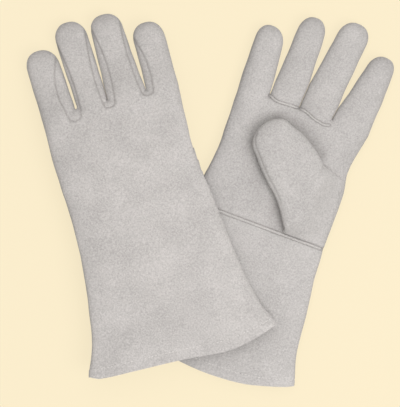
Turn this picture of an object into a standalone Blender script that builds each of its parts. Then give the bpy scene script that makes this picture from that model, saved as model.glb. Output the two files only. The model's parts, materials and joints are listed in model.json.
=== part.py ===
"""A pair of lined split-leather welding gauntlets, the left one lying on the right one.

Each glove is drawn in its own frame: +Y runs from the cuff's mouth to the fingertips, +X points
to the index finger's side and +Z to the palm's side. The right glove keeps that frame and lies
palm up. The left glove is its mirror image in Z, so it lies palm down.
"""
import math
from collections import namedtuple

import bpy
from mathutils import Vector

MM = 0.001

# Material thicknesses
LEATHER = 1.3 * MM
LINING = 2.0 * MM
HEM = 1.0 * MM
WELT = 1.2 * MM
WELT_GAP = 0.8 * MM

# Clearances
GAP = 0.4 * MM
SEAM_GAP = 1.0 * MM
SIDE_GAP = 2.4 * MM
LINING_GAP = 1.0 * MM

# Lengths along a glove, from the cuff's mouth
WRIST = 148 * MM
HEM_START = 1 * MM
HEM_END = 9 * MM
WELT_WIDTH = 3.5 * MM
MOUTH_FADE = 70 * MM

# Half thicknesses
CUFF_HALF = 9.5 * MM
PALM_HALF = 11 * MM
FINGER_HALF = 9.5 * MM
THUMB_HALF = 7.5 * MM

# Cross-sections are superellipses: a higher power is boxier
HAND_POWER = 3.0
FINGER_POWER = 2.4

# Fingers
TIP_LENGTH = 17 * MM
FOURCHETTE_HALF = 3.9 * MM
TIP_EDGE_HALF = 2.2 * MM
FOURCHETTE_TURN = 0.6
DOME_ANGLES = (0, 35, 62, 84)

# The flat that the lower glove rests on
REST_CLIP = 0.7 * MM
THUMB_CLEARANCE = 1.9 * MM

COLUMNS = 10
FINGER_COLUMNS = 6
STRAIGHT_STEPS = 3

Station = namedtuple("Station", "little index half")
Finger = namedtuple("Finger", "name little index tip_x tip_y tip_half")
Glove = namedtuple(
    "Glove", "name palm_up turn place knuckle mouth_sag mouth_drop outline fingers thumb")

# outline rows: distance from the mouth, little finger's edge, index finger's edge
# thumb rows: a point on its lower edge, then the matching point on its upper edge
RIGHT = Glove(
    name="right", palm_up=1, turn=-20.4, place=(-9 * MM, -162 * MM, 0), knuckle=269 * MM,
    mouth_sag=16 * MM, mouth_drop=5.6 * MM,
    outline=[(0, -92, 95), (40, -81, 86.5), (90, -73, 80), (WRIST / MM, -66, 74.5), (205, -58.5, 74),
             (231, -59, 70.5), (269, -60.5, 77)],
    fingers=[
        Finger("little", -60.5, -28.9, -48, 340, 14.7),
        Finger("ring", -28.3, 2.6, -12, 362, 14.2),
        Finger("middle", 3.2, 36.6, 28.3, 371, 15.8),
        Finger("index", 37.2, 77, 65, 349, 13.8),
    ],
    thumb=[((30, 154), (44, 226)), ((14, 176), (33, 236)), ((-8, 197), (16, 246)),
           ((-23, 213), (0, 252))],
)
LEFT = Glove(
    name="left", palm_up=-1, turn=15.2, place=(-25 * MM, -148 * MM, 0), knuckle=254 * MM,
    mouth_sag=4.2 * MM, mouth_drop=4.6 * MM,
    outline=[(0, -97, 95), (35, -84.5, 82), (85, -76, 72), (WRIST / MM, -72.5, 66), (195, -74, 60),
             (254, -75, 62)],
    fingers=[
        Finger("little", -75, -40.7, -61.5, 323, 15.9),
        Finger("ring", -40.1, -8.7, -28, 344, 16.7),
        Finger("middle", -8.1, 30.6, 8.3, 342, 16),
        Finger("index", 31.2, 62, 46.5, 323, 15.7),
    ],
    thumb=[((26, 152), (40, 218)), ((10, 172), (29, 226)), ((-12, 191), (12, 233)),
           ((-26, 204), (-3, 238))],
)

SUEDE = (0.60, 0.57, 0.54)
SUEDE_PALM = (0.56, 0.54, 0.52)
FOURCHETTE_SUEDE = (0.50, 0.48, 0.46)
WELT_SUEDE = (0.46, 0.44, 0.42)
FLEECE = (0.78, 0.76, 0.70)


def clear_scene():
    for old in list(bpy.data.objects):
        bpy.data.objects.remove(old, do_unlink=True)


def make_collection(name):
    collection = bpy.data.collections.new(name)
    bpy.context.scene.collection.children.link(collection)
    return collection


def make_material(name, colour, roughness):
    material = bpy.data.materials.new(name)
    material.use_nodes = True
    shader = material.node_tree.nodes["Principled BSDF"]
    shader.inputs["Base Color"].default_value = (*colour, 1)
    shader.inputs["Roughness"].default_value = roughness
    shader.inputs["Metallic"].default_value = 0
    material.diffuse_color = (*colour, 1)
    return material


def through(knots, at):
    """A smooth curve through (position, value) knots, read at one position."""
    if at <= knots[0][0]:
        return knots[0][1]
    for index in range(len(knots) - 1):
        start, end = knots[index], knots[index + 1]
        if at <= end[0]:
            break
    else:
        return knots[-1][1]
    before = knots[max(index - 1, 0)]
    after = knots[min(index + 2, len(knots) - 1)]
    span = end[0] - start[0]
    slope_in = (end[1] - before[1]) / (end[0] - before[0]) * span
    slope_out = (after[1] - start[1]) / (after[0] - start[0]) * span
    t = (at - start[0]) / span
    return (start[1] * (2 * t**3 - 3 * t**2 + 1) + end[1] * (3 * t**2 - 2 * t**3)
            + slope_in * (t**3 - 2 * t**2 + t) + slope_out * (t**3 - t**2))


def hand_half(glove, y):
    """Half the thickness of the cuff and hand at a distance from the mouth."""
    knots = [(0, CUFF_HALF), (WRIST, CUFF_HALF), (WRIST + 50 * MM, PALM_HALF),
             (glove.knuckle - 15 * MM, FINGER_HALF), (glove.knuckle, FINGER_HALF)]
    return through(knots, y)


def mid_height(glove, y):
    """Height of the glove's middle surface above the table."""
    if glove.palm_up > 0:
        return hand_half(glove, y) - REST_CLIP
    tips = max(finger.tip_y for finger in glove.fingers) * MM
    under = [(0, 21 * MM), (WRIST, 20.5 * MM), (glove.knuckle, 17.5 * MM),
             (glove.knuckle + 35 * MM, 9 * MM), (tips, 0.6 * MM)]
    return hand_half(glove, y) + through(under, y)


def settle(glove, point):
    """Moves a point of the flat pattern to where the glove lies, still in the glove's frame."""
    height = max(point.z, REST_CLIP - hand_half(glove, point.y)) if glove.palm_up > 0 else point.z
    return Vector((point.x, point.y, glove.palm_up * height + mid_height(glove, point.y)))


def hand_station(glove, y):
    little = through([(row[0] * MM, row[1] * MM) for row in glove.outline], y)
    index = through([(row[0] * MM, row[2] * MM) for row in glove.outline], y)
    return Station(Vector((little, y)), Vector((index, y)), hand_half(glove, y))


def hand_stations(glove, start, end, count):
    return [hand_station(glove, start + (end - start) * i / count) for i in range(count + 1)]


def dome(start, reach):
    """Stations that round off the end of a finger or thumb."""
    stations = []
    middle = (start.little + start.index) / 2
    across = (start.index - start.little) / 2
    for degrees in DOME_ANGLES:
        turn = math.radians(degrees)
        narrow = max(math.cos(turn), 0.3)
        half = max(start.half * math.cos(turn), TIP_EDGE_HALF)
        centre = middle + reach * math.sin(turn)
        stations.append(Station(centre - across * narrow, centre + across * narrow, half))
    return stations


def finger_stations(glove, finger):
    base_y = glove.knuckle + GAP
    base_little = Vector((finger.little * MM, base_y))
    base_index = Vector((finger.index * MM, base_y))
    centre = Vector((finger.tip_x * MM, finger.tip_y * MM - TIP_LENGTH))
    tip_across = Vector((finger.tip_half * MM, 0))
    stations = []
    for step in range(STRAIGHT_STEPS):
        t = step / STRAIGHT_STEPS
        little = base_little.lerp(centre - tip_across, t)
        index = base_index.lerp(centre + tip_across, t)
        stations.append(Station(little, index, FINGER_HALF))
    lean = (centre - (base_little + base_index) / 2).normalized()
    return stations + dome(Station(centre - tip_across, centre + tip_across, FINGER_HALF),
                           lean * TIP_LENGTH)


def thumb_stations(glove):
    stations = [Station(Vector(low) * MM, Vector(high) * MM, THUMB_HALF)
                for low, high in glove.thumb]
    last, before = stations[-1], stations[-2]
    lean = ((last.little + last.index) - (before.little + before.index)).normalized()
    return stations[:-1] + dome(last, lean * TIP_LENGTH)


def angle_at(height, half, power):
    """Angle on a superellipse of half thickness `half` where it is `height` above its middle."""
    share = min(height / half, 0.95)
    return math.asin(share ** (power / 2))


def section_point(station, angle, inset, power):
    """A point on a station's cross-section, in the flat pattern, moved in by `inset`."""
    middle = (station.little + station.index) / 2
    across = (station.index - station.little) / 2
    reach = max(across.length - inset, 0.5 * MM)
    rise = max(station.half - inset, 0.3 * MM)
    cosine, sine = math.cos(angle), math.sin(angle)
    flat = middle + across.normalized() * reach * math.copysign(abs(cosine) ** (2 / power), cosine)
    return Vector((flat.x, flat.y, rise * math.copysign(abs(sine) ** (2 / power), sine)))


class Builder:
    """Makes one glove's pieces, each parented to the empty on its body's joint axis."""

    def __init__(self, glove, collection, pair):
        self.glove = glove
        self.collection = collection
        self.root = self.empty(f"{glove.name}_glove", pair, Vector(glove.place))
        self.root.rotation_euler.z = math.radians(glove.turn)
        self.bodies = {}

    def empty(self, name, parent, location):
        empty = bpy.data.objects.new(name, None)
        empty.empty_display_size = 10 * MM
        empty.location = location
        empty.parent = parent
        self.collection.objects.link(empty)
        return empty

    def body(self, name, pivot):
        """The empty that a moving body turns about, at a settled point of the glove's frame."""
        self.bodies[name] = self.empty(f"{self.glove.name}_{name}_axis", self.root, pivot)

    def shell(self, name, body, rows, columns, thickness, closed=False, capped=False):
        """One piece of sheet material: an open loft through rows of points, thickened inwards."""
        pivot = self.bodies[body].location
        points = [settle(self.glove, point) - pivot for row in rows for point in row]
        width = columns if closed else columns + 1
        faces = []
        for row in range(len(rows) - 1):
            for column in range(columns):
                beside = (column + 1) % width
                faces.append((row * width + column, row * width + beside,
                              (row + 1) * width + beside, (row + 1) * width + column))
        if capped:
            faces.append(tuple((len(rows) - 1) * width + column for column in range(width)))
        if self.glove.palm_up > 0:
            faces = [tuple(reversed(face)) for face in faces]
        mesh = bpy.data.meshes.new(name)
        mesh.from_pydata(points, [], faces)
        mesh.shade_smooth()
        piece = bpy.data.objects.new(f"{self.glove.name}_{name}", mesh)
        piece.parent = self.bodies[body]
        self.collection.objects.link(piece)
        solidify = piece.modifiers.new("thickness", "SOLIDIFY")
        solidify.thickness = thickness
        solidify.offset = -1
        return piece

    def finish(self, piece, colour, roughness=0.9):
        piece.data.materials.append(make_material(piece.name, colour, roughness))


def panel_rows(stations, columns, inset, power, edges, side, lift=0):
    """Rows of one panel. `edges` gives its height at the index and little edges."""
    rows = []
    for station in stations:
        index_height, little_height = edges(station)
        first = angle_at(index_height, station.half, power)
        last = math.pi - angle_at(little_height, station.half, power)
        row = []
        for column in range(columns + 1):
            angle = first + (last - first) * column / columns
            point = section_point(station, side * angle, inset, power)
            row.append(point + Vector((0, 0, lift)))
        rows.append(row if side > 0 else row[::-1])
    return rows


def ring_rows(stations, columns, inset, power, lift=0):
    rows = []
    for station in stations:
        row = []
        for column in range(columns):
            angle = 2 * math.pi * column / columns
            row.append(section_point(station, angle, inset, power) + Vector((0, 0, lift)))
        rows.append(row)
    return rows


def bow_mouth(glove, rows):
    """Bows the cuff's mouth, further out at the middle than at its corners."""
    edge = glove.outline[0][2] * MM
    for row in rows:
        for point in row:
            fade = max(1 - point.y / MOUTH_FADE, 0) ** 2
            point.y += (glove.mouth_sag * (point.x / edge) ** 2 - glove.mouth_drop) * fade
    return rows


def side_edge(station):
    """Height of a panel's edge where a back and a front meet at the side."""
    return min(SIDE_GAP / 2, station.half / 2)


def side_seam(station):
    return side_edge(station), side_edge(station)


def build_cuff(make):
    glove = make.glove
    end = WRIST - GAP
    stations = hand_stations(glove, 0, end, 6)
    for name, side, colour in (("cuff_palm", 1, SUEDE_PALM), ("cuff_back", -1, SUEDE)):
        rows = panel_rows(stations, COLUMNS, 0, HAND_POWER, side_seam, side)
        piece = make.shell(name, "cuff", bow_mouth(glove, rows), COLUMNS, LEATHER)
        make.finish(piece, colour)
    inset = LEATHER + LINING_GAP
    hem = ring_rows(hand_stations(glove, HEM_START, HEM_END, 1), 2 * COLUMNS, inset, HAND_POWER)
    piece = make.shell("cuff_hem", "cuff", bow_mouth(glove, hem), 2 * COLUMNS, HEM, closed=True)
    make.finish(piece, SUEDE_PALM)
    stations = hand_stations(glove, HEM_END + 2 * GAP, end, 6)
    lining = ring_rows(stations, 2 * COLUMNS, inset, HAND_POWER)
    piece = make.shell("cuff_lining", "cuff", bow_mouth(glove, lining), 2 * COLUMNS, LINING,
                       closed=True)
    make.finish(piece, FLEECE, 1)
    build_welt(make, "wrist_welt", "cuff", end - WELT_WIDTH, (14, 166), COLUMNS)


def build_welt(make, name, body, y, degrees, columns):
    """A raised strip of leather sewn across the palm side, between two angles of the section."""
    rows = []
    for station in hand_stations(make.glove, y, y + WELT_WIDTH - GAP, 1):
        row = []
        for column in range(columns + 1):
            angle = math.radians(degrees[0] + (degrees[1] - degrees[0]) * column / columns)
            row.append(section_point(station, angle, -(WELT + WELT_GAP), HAND_POWER))
        rows.append(row)
    make.finish(make.shell(name, body, rows, columns, WELT), WELT_SUEDE)


def build_hand(make):
    glove = make.glove
    stations = hand_stations(glove, WRIST, glove.knuckle - GAP, 5)
    for name, side, colour in (("hand_palm", 1, SUEDE_PALM), ("hand_back", -1, SUEDE)):
        rows = panel_rows(stations, COLUMNS, 0, HAND_POWER, side_seam, side)
        make.finish(make.shell(name, "hand", rows, COLUMNS, LEATHER), colour)
    rows = ring_rows(stations, 2 * COLUMNS, LEATHER + LINING_GAP, HAND_POWER)
    make.finish(make.shell("hand_lining", "hand", rows, 2 * COLUMNS, LINING, closed=True),
                FLEECE, 1)
    build_welt(make, "finger_base_welt", "hand", glove.knuckle - 2 * GAP - WELT_WIDTH, (72, 110), 4)


def fourchette_height(stations, station):
    """Half the height of a fourchette, which tapers to a point in the fingertip."""
    reached = stations.index(station) / (len(stations) - 1)
    taper = 1 if reached < FOURCHETTE_TURN else (1 - reached) / (1 - FOURCHETTE_TURN)
    return max(FOURCHETTE_HALF * taper, SEAM_GAP / 2)


def build_finger(make, finger):
    stations = finger_stations(make.glove, finger)
    body = finger.name
    sides = {"little": ("index",), "index": ("little",)}.get(finger.name, ("index", "little"))

    def edges(station):
        seam = fourchette_height(stations, station) + SEAM_GAP / 2
        return tuple(seam if side in sides else side_edge(station) for side in ("index", "little"))

    for part, side, colour in (("front", 1, SUEDE_PALM), ("back", -1, SUEDE)):
        rows = panel_rows(stations, FINGER_COLUMNS, 0, FINGER_POWER, edges, side)
        make.finish(make.shell(f"{body}_{part}", body, rows, FINGER_COLUMNS, LEATHER), colour)
    for side in sides:
        build_fourchette(make, finger, stations, side)
    rows = ring_rows(stations[:-2], 2 * FINGER_COLUMNS, LEATHER + LINING_GAP, FINGER_POWER)
    piece = make.shell(f"{body}_lining", body, rows, 2 * FINGER_COLUMNS, LINING, closed=True,
                       capped=True)
    make.finish(piece, FLEECE, 1)


def build_fourchette(make, finger, stations, side):
    """The half strip on one side of a finger, between its front and its back."""
    facing = 0 if side == "index" else math.pi
    rows = []
    for station in stations[:-1]:
        height = fourchette_height(stations, station) - SEAM_GAP / 2
        spread = angle_at(height, station.half, FINGER_POWER)
        rows.append([section_point(station, facing + spread * step, 0, FINGER_POWER)
                     for step in (-1, 0, 1)])
    name = f"{finger.name}_fourchette_{side}_side"
    make.finish(make.shell(name, finger.name, rows, 2, LEATHER), FOURCHETTE_SUEDE)


def build_thumb(make):
    stations = thumb_stations(make.glove)
    lift = thumb_lift()
    for part, side, colour in (("outer", 1, SUEDE_PALM), ("inner", -1, SUEDE)):
        rows = panel_rows(stations, 8, 0, FINGER_POWER, side_seam, side, lift)
        make.finish(make.shell(f"thumb_{part}", "thumb", rows, 8, LEATHER), colour)
    rows = ring_rows(stations[:-2], 16, LEATHER + LINING_GAP, FINGER_POWER, lift)
    piece = make.shell("thumb_lining", "thumb", rows, 16, LINING, closed=True, capped=True)
    make.finish(piece, FLEECE, 1)


def thumb_lift():
    """Height of the thumb's middle above the hand's middle, folded over the palm."""
    return PALM_HALF + THUMB_HALF + THUMB_CLEARANCE


def add_bodies(make):
    """Joint axes: knuckles on the palm side, the wrist on the back, the thumb on its outer fold."""
    glove = make.glove
    make.body("hand", Vector((0, 0, 0)))
    wrist = Vector((0, WRIST - GAP / 2, -CUFF_HALF))
    make.body("cuff", settle(glove, wrist))
    for finger in glove.fingers:
        middle = (finger.little + finger.index) / 2 * MM
        make.body(finger.name, settle(glove, Vector((middle, glove.knuckle, FINGER_HALF))))
    low, high = glove.thumb[0]
    fold = (Vector(low) + Vector(high)) / 2 * MM
    make.body("thumb", settle(glove, Vector((*fold, thumb_lift() + THUMB_HALF))))


def centre_pair(collection, pair):
    """Puts the pair's lowest point at zero height and the middle of its box on the origin."""
    bpy.context.view_layer.update()
    graph = bpy.context.evaluated_depsgraph_get()
    corners = []
    for piece in collection.objects:
        if piece.type == "MESH":
            solid = piece.evaluated_get(graph)
            corners += [solid.matrix_world @ vertex.co for vertex in solid.data.vertices]
    low = Vector(min(corner[axis] for corner in corners) for axis in range(3))
    high = Vector(max(corner[axis] for corner in corners) for axis in range(3))
    pair.location = Vector((-(low.x + high.x) / 2, -(low.y + high.y) / 2, -low.z))


def main():
    clear_scene()
    collection = make_collection("welding_gloves")
    pair = bpy.data.objects.new("pair", None)
    collection.objects.link(pair)
    for glove in (RIGHT, LEFT):
        make = Builder(glove, collection, pair)
        add_bodies(make)
        build_cuff(make)
        build_hand(make)
        for finger in glove.fingers:
            build_finger(make, finger)
        build_thumb(make)
    centre_pair(collection, pair)


main()
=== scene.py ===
"""Looks of a pair of suede welding gloves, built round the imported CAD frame.

Each glove's skin is worked out in a flat pattern: +Y from the cuff's mouth to the fingertips, +X to
the index finger's side, +Z to the palm's side and z = 0 at the side seams. settle() then lays the
pattern down as the CAD has it.
"""
import json
import math
from collections import namedtuple

import bmesh
import bpy
import numpy as np
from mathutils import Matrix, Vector, noise
from mathutils.bvhtree import BVHTree


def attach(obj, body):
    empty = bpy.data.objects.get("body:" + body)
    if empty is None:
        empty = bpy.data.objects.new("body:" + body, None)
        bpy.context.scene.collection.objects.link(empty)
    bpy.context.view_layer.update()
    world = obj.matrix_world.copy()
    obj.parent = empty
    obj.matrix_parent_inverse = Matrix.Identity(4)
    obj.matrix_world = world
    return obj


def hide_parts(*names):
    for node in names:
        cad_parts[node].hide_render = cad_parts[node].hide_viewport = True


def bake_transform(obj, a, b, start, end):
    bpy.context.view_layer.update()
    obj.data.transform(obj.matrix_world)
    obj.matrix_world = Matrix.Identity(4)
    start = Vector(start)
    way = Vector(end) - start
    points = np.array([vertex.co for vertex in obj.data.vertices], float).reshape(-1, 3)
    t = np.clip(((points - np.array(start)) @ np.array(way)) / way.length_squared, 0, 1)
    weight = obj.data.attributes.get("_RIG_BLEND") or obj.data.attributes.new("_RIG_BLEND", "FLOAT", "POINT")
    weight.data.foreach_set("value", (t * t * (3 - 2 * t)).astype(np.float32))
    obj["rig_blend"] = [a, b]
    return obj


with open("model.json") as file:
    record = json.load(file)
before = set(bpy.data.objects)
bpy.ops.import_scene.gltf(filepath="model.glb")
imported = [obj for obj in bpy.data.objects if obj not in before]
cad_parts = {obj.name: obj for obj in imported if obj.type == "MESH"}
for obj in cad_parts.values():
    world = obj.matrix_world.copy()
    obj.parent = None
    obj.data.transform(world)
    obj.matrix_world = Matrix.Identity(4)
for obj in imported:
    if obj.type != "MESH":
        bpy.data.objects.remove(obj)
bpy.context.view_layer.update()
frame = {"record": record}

MM = 0.001

# The glove's own sizes, as in the CAD
WRIST = 148 * MM
AXIS_GAP = 0.2 * MM
CUFF_HALF = 9.5 * MM
PALM_HALF = 11 * MM
FINGER_HALF = 9.5 * MM
THUMB_HALF = 7.5 * MM
THUMB_CLEARANCE = 1.9 * MM
TIP_LENGTH = 17 * MM
HAND_POWER = 3.0
FINGER_POWER = 2.4
REST_CLIP = 0.7 * MM
MOUTH_FADE = 70 * MM
LEATHER = 1.3 * MM
LINING_INSET = 2.3 * MM
LINING = 2.0 * MM
FOURCHETTE_HALF = 3.9 * MM

# How far above the wrist the hand is thickest, and how far below the knuckles it has thinned
PALM_RISE = 50 * MM
KNUCKLE_TAPER = 15 * MM

# How high the upper glove's underside lies, in millimetres: at its mouth, its wrist, its
# knuckles, UP_THE_FINGERS from them and at its fingertips
UNDER = (21, 20.5, 17.5, 9, 0.6)
UP_THE_FINGERS = 35 * MM
LEAST_HEIGHT = 0.2 * MM

# The tubes that the skin is made from: their sections, and the points round each. BODY_END rounds
# off the body: millimetres past its last section, and the share of its thickness left there
BODY_START = -12 * MM
BODY_SHORT = 7 * MM
BODY_SECTIONS = 30
BODY_ROUND = 96
BODY_END = ((3, 0.97), (6, 0.86), (8, 0.68), (9, 0.45))
FINGER_SECTIONS = 6
FINGER_ROUND = 32
FINGER_ROOT = 24 * MM
ROOT_INSET = 1.0 * MM
ROOT_TAPER = 1.5 * MM
LEAST_REACH = 0.3 * MM
LEAST_RISE = 0.2 * MM
THUMB_SECTIONS = 9
THUMB_ROUND = 40
DOME_SECTIONS = 8
DOME_TURN = math.radians(88)
FINGER_BLUNTNESS = 0.85
THUMB_BLUNTNESS = 1.0

# How the skin is made. Neighbouring fingers are pinched apart for the remesh and let out after it
VOXEL = 1.15 * MM
SMOOTH_ROUNDS = 6
SMOOTH_IN = 0.6
SMOOTH_OUT = -0.48
FINGER_PINCH = 1.6 * MM
LET_OUT_FADE = 4 * MM
GAP_LEFT = 0.3 * MM
TOUCH_GAP = 0.06 * MM
GAP_MARGIN = 1.6 * MM
RELIEF = 0.35 * MM
SEEDS = {"right": 2, "left": 5, "thumb": 8}

# The hollow in the palm beside the folded thumb, with painted shade laid into it. The broad one is given as
# shares of the deep one; how far each lies from the thumb is in millimetres
HOLLOW_WIDTH = 6.5 * MM
HOLLOW_DEPTH = 2.2 * MM
HOLLOW_PAINTED_SHADE = 0.3
HOLLOW_OFF = 2
BROAD_HOLLOW_WIDTH = 1.5
BROAD_HOLLOW_DEPTH = 0.4
BROAD_HOLLOW_OFF = 7

# Where the shells are divided, the angle from which an edge is sharp, and how far the leather
# bends to each side of a joint
SPLIT_BELOW_KNUCKLE = 11 * MM
CUT_TOLERANCE = 1e-7
SHARP_ANGLE = math.radians(50)
KNUCKLE_BEND = 8 * MM
THUMB_BEND = 8 * MM
WRIST_BEND = 14 * MM

# The distance that stands for being nowhere near
FAR = 20 * MM

# How finely curves are read, and seam lines drawn between their points
CURVE_SAMPLES = 300
PATH_STEPS = 8

# How far a fourchette's seams lie from the gap, in millimetres: on the finger to the little
# finger's side of the gap, on the one to the index finger's side, and below the knuckle line
FOURCHETTE_SEAMS = ((11, 5.5, 9.5), (5.5, 8.5, 5.5), (5.5, 8.0, 3.5))

# How those distances shrink along the finger, as (share of its length, share of the distance),
# how far above the knuckle line the seam's round end starts, and how blunt that end is
FOURCHETTE_TAPER = ((0, 0.85), (0.35, 1), (0.7, 0.8), (1.1, 0.15))
FOURCHETTE_START = 2
FOURCHETTE_BLUNTNESS = 0.7

# The strip inside the seam lies lower, and the leather outside it swells to a lip
STEP_DOWN = 0.4 * MM
STEP_WIDTH = 1.2 * MM
LIP_HEIGHT = 0.3 * MM
LIP_WIDTH = 2.2 * MM

# The strips beneath the fingers' sides: where they start to narrow, how fast, and their thickness
STRIP_COLUMNS = 6
STRIP_FULL = 0.7
STRIP_NARROWING = 2.2
STRIP_WIDEST = 0.9
STRIP_THICKNESS = 0.9 * MM

# A seam's groove, and how dark its line is, how wide, and how far from the seam it lies to either side. The
# dark line is partly the seam's own dark join and partly painted shade in its crease. Lengths are in
# millimetres
Seam = namedtuple("Seam", "width depth shade line off", defaults=(0, 0, 0))
FOURCHETTE_SEAM = Seam(1.1, 0.7, 0.42, 0.9)
WRIST_SEAM = Seam(2.0, 0.9, 0.8, 0.8, 1.2)
BASE_SEAM = Seam(1.7, 0.8, 0.6, 0.7, 1.0)
SIDE_SEAM = Seam(1.2, 0.4, 0.1, 1.0)
HEM_SEAM = Seam(1.0, 0.2)
THUMB_SEAM = Seam(0.9, 0.5, 0.5, 0.7)
# Painted shade: the dark line above the wrist welt is darker than the one below it
WRIST_SHADE_BELOW = 0.5
THUMB_SEAM_INSET = 3.4

# Soft unevenness of the leather: how far apart its waves are, and how high
BROAD_WAVE = (46 * MM, 1.1 * MM)
FINE_WAVE = (17 * MM, 0.45 * MM)
THUMB_WAVE = (30 * MM, 0.9 * MM)

# The wing between the thumb and the hand's edge
WING_START = 2.2 * MM
WING_INSET = 1.0 * MM
WING_DROP = 7 * MM
WING_ROWS = 16
WING_COLUMNS = 14
WING_RIM = 0.25
WING_SHOULDER = 0.35
WING_LIFT = 0.9 * MM
WING_SINK = 1.5 * MM

# Linings, the hem's facing, welts and stitches
LINING_START = 10 * MM
LINING_GAP = 0.4 * MM
LINING_ROUND = 72
FINGER_LINING_ROUND = 28
FACING_START = 0.6 * MM
FACING_END = 9.2 * MM
FACING_GAP = 0.5 * MM
FACING = 1.2 * MM
WELT_MARGIN = 0.02
WELT_STEPS = 70
WRIST_WELT = 1.15 * MM
WRIST_WELT_RISE = 0.15 * MM
BASE_WELT = 0.95 * MM
BASE_WELT_RISE = 0.35 * MM
HEM_LINE = 8.5 * MM
STITCH_PITCH = 3.4 * MM
STITCH_LENGTH = 2.3 * MM
STITCH_RADIUS = 0.27 * MM
STITCH_RISE = 0.08 * MM
STITCH_MARGIN = 4 * MM
STITCH_ROUND = 6

# The suede's texture: scale, detail and roughness of each layer of noise, and its share of the tone
Grain = namedtuple("Grain", "scale detail roughness share")
CLOUDS = Grain(30, 2, 0.6, 0.2)
NAP = Grain(600, 3, 0.65, 0.5)
FIBRES = Grain(1500, 2, 0.6, 0.3)
TONE_START = 0.38
TONE_END = 0.62
# The colour that the seams' dark lines and the painted shade darken towards, as shares of the dark tone
SEAM_AND_SHADE_TINT = (0.45, 0.43, 0.41)

# The room's colours from below to above; the horizon is at HORIZON on the ramp
HORIZON = 0.2
SKY = ((0.14, (0.22, 0.21, 0.19)), (0.19, (1.3, 1.22, 1.05)), (0.7, (1, 0.99, 0.97)))
SKY_STRENGTH = 0.5
FLOOR_SIZE = 6
FLOOR_DROP = 0.05 * MM

# The camera: how tall a field it sees at VIEW_LEVEL above the floor, where it looks, and its lens
VIEW_HEIGHT = 403 * MM
VIEW_LEVEL = 15 * MM
VIEW_CENTRE = (-11.1 * MM, -3.2 * MM)
FOCAL = 100
SENSOR = 36

Station = namedtuple("Station", "little index half")
Finger = namedtuple("Finger", "name little index tip_x tip_y tip_half")
Glove = namedtuple("Glove", "name palm_up knuckle mouth closed spread outline fingers thumb")

RIGHT = Glove(
    name="right", palm_up=1, knuckle=269 * MM, closed=(6, 30, 17),
    spread=((0, 0), (0, 0), (0, 0)),
    mouth=[(-1, 10.4), (-0.6, 0.2), (-0.2, -4.8), (0.05, -6.2), (0.3, -5.4), (0.5, -3.2), (0.7, 1.6),
           (0.9, 7.4), (1, 11.2)],
    outline=[(0, -92, 95), (40, -81, 86.5), (90, -73, 80), (WRIST / MM, -66, 74.5), (205, -58.5, 74),
             (231, -59, 70.5), (269, -60.5, 77)],
    fingers=[
        Finger("little", -60.5, -28.9, -48, 340, 14.7),
        Finger("ring", -28.3, 2.6, -12, 362, 14.2),
        Finger("middle", 3.2, 36.6, 28.3, 371, 15.8),
        Finger("index", 37.2, 77, 65, 349, 13.8),
    ],
    thumb=[((30, 154), (44, 226)), ((14, 176), (33, 236)), ((-8, 197), (16, 246)),
           ((-23, 213), (0, 252))],
)
LEFT = Glove(
    name="left", palm_up=-1, knuckle=254 * MM, closed=(0, 20, 6),
    spread=((0, 1.2), (0.2, 0.4), (0, 0)),
    mouth=[(-1, 0.4), (-0.9, -3.2), (-0.55, -4.4), (-0.1, -5.6), (0.2, -7.8), (0.42, -9.2),
           (0.6, -7.4), (0.8, -2.8), (1, 3)],
    outline=[(0, -97, 95), (35, -84.5, 82), (85, -76, 72), (WRIST / MM, -72.5, 66), (195, -74, 60),
             (254, -75, 62)],
    fingers=[
        Finger("little", -75, -40.7, -61.5, 323, 15.9),
        Finger("ring", -40.1, -8.7, -28, 344, 16.7),
        Finger("middle", -8.1, 30.6, 8.3, 342, 16),
        Finger("index", 31.2, 62, 46.5, 323, 15.7),
    ],
    thumb=[((26, 152), (40, 218)), ((10, 172), (29, 226)), ((-12, 191), (12, 233)),
           ((-26, 204), (-3, 238))],
)


def through(knots, at):
    """A smooth curve through (position, value) knots, read at one position."""
    if at <= knots[0][0]:
        return knots[0][1]
    for index in range(len(knots) - 1):
        start, end = knots[index], knots[index + 1]
        if at <= end[0]:
            break
    else:
        return knots[-1][1]
    before = knots[max(index - 1, 0)]
    after = knots[min(index + 2, len(knots) - 1)]
    span = end[0] - start[0]
    slope_in = (end[1] - before[1]) / (end[0] - before[0]) * span
    slope_out = (after[1] - start[1]) / (after[0] - start[0]) * span
    t = (at - start[0]) / span
    return (start[1] * (2 * t**3 - 3 * t**2 + 1) + end[1] * (3 * t**2 - 2 * t**3)
            + slope_in * (t**3 - 2 * t**2 + t) + slope_out * (t**3 - t**2))


def blunt(value, power):
    """A power of the value that keeps its sign."""
    return math.copysign(abs(value) ** power, value)


def bell(distance, width):
    """1 at no distance, falling smoothly to nothing over about twice the width."""
    return np.exp(-((distance / width) ** 2))


def sampled(knots):
    """The curve through the knots, as a function of a numpy array."""
    places = np.linspace(knots[0][0], knots[-1][0], CURVE_SAMPLES)
    values = np.array([through(knots, place) for place in places])
    return lambda at: np.interp(at, places, values)


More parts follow.
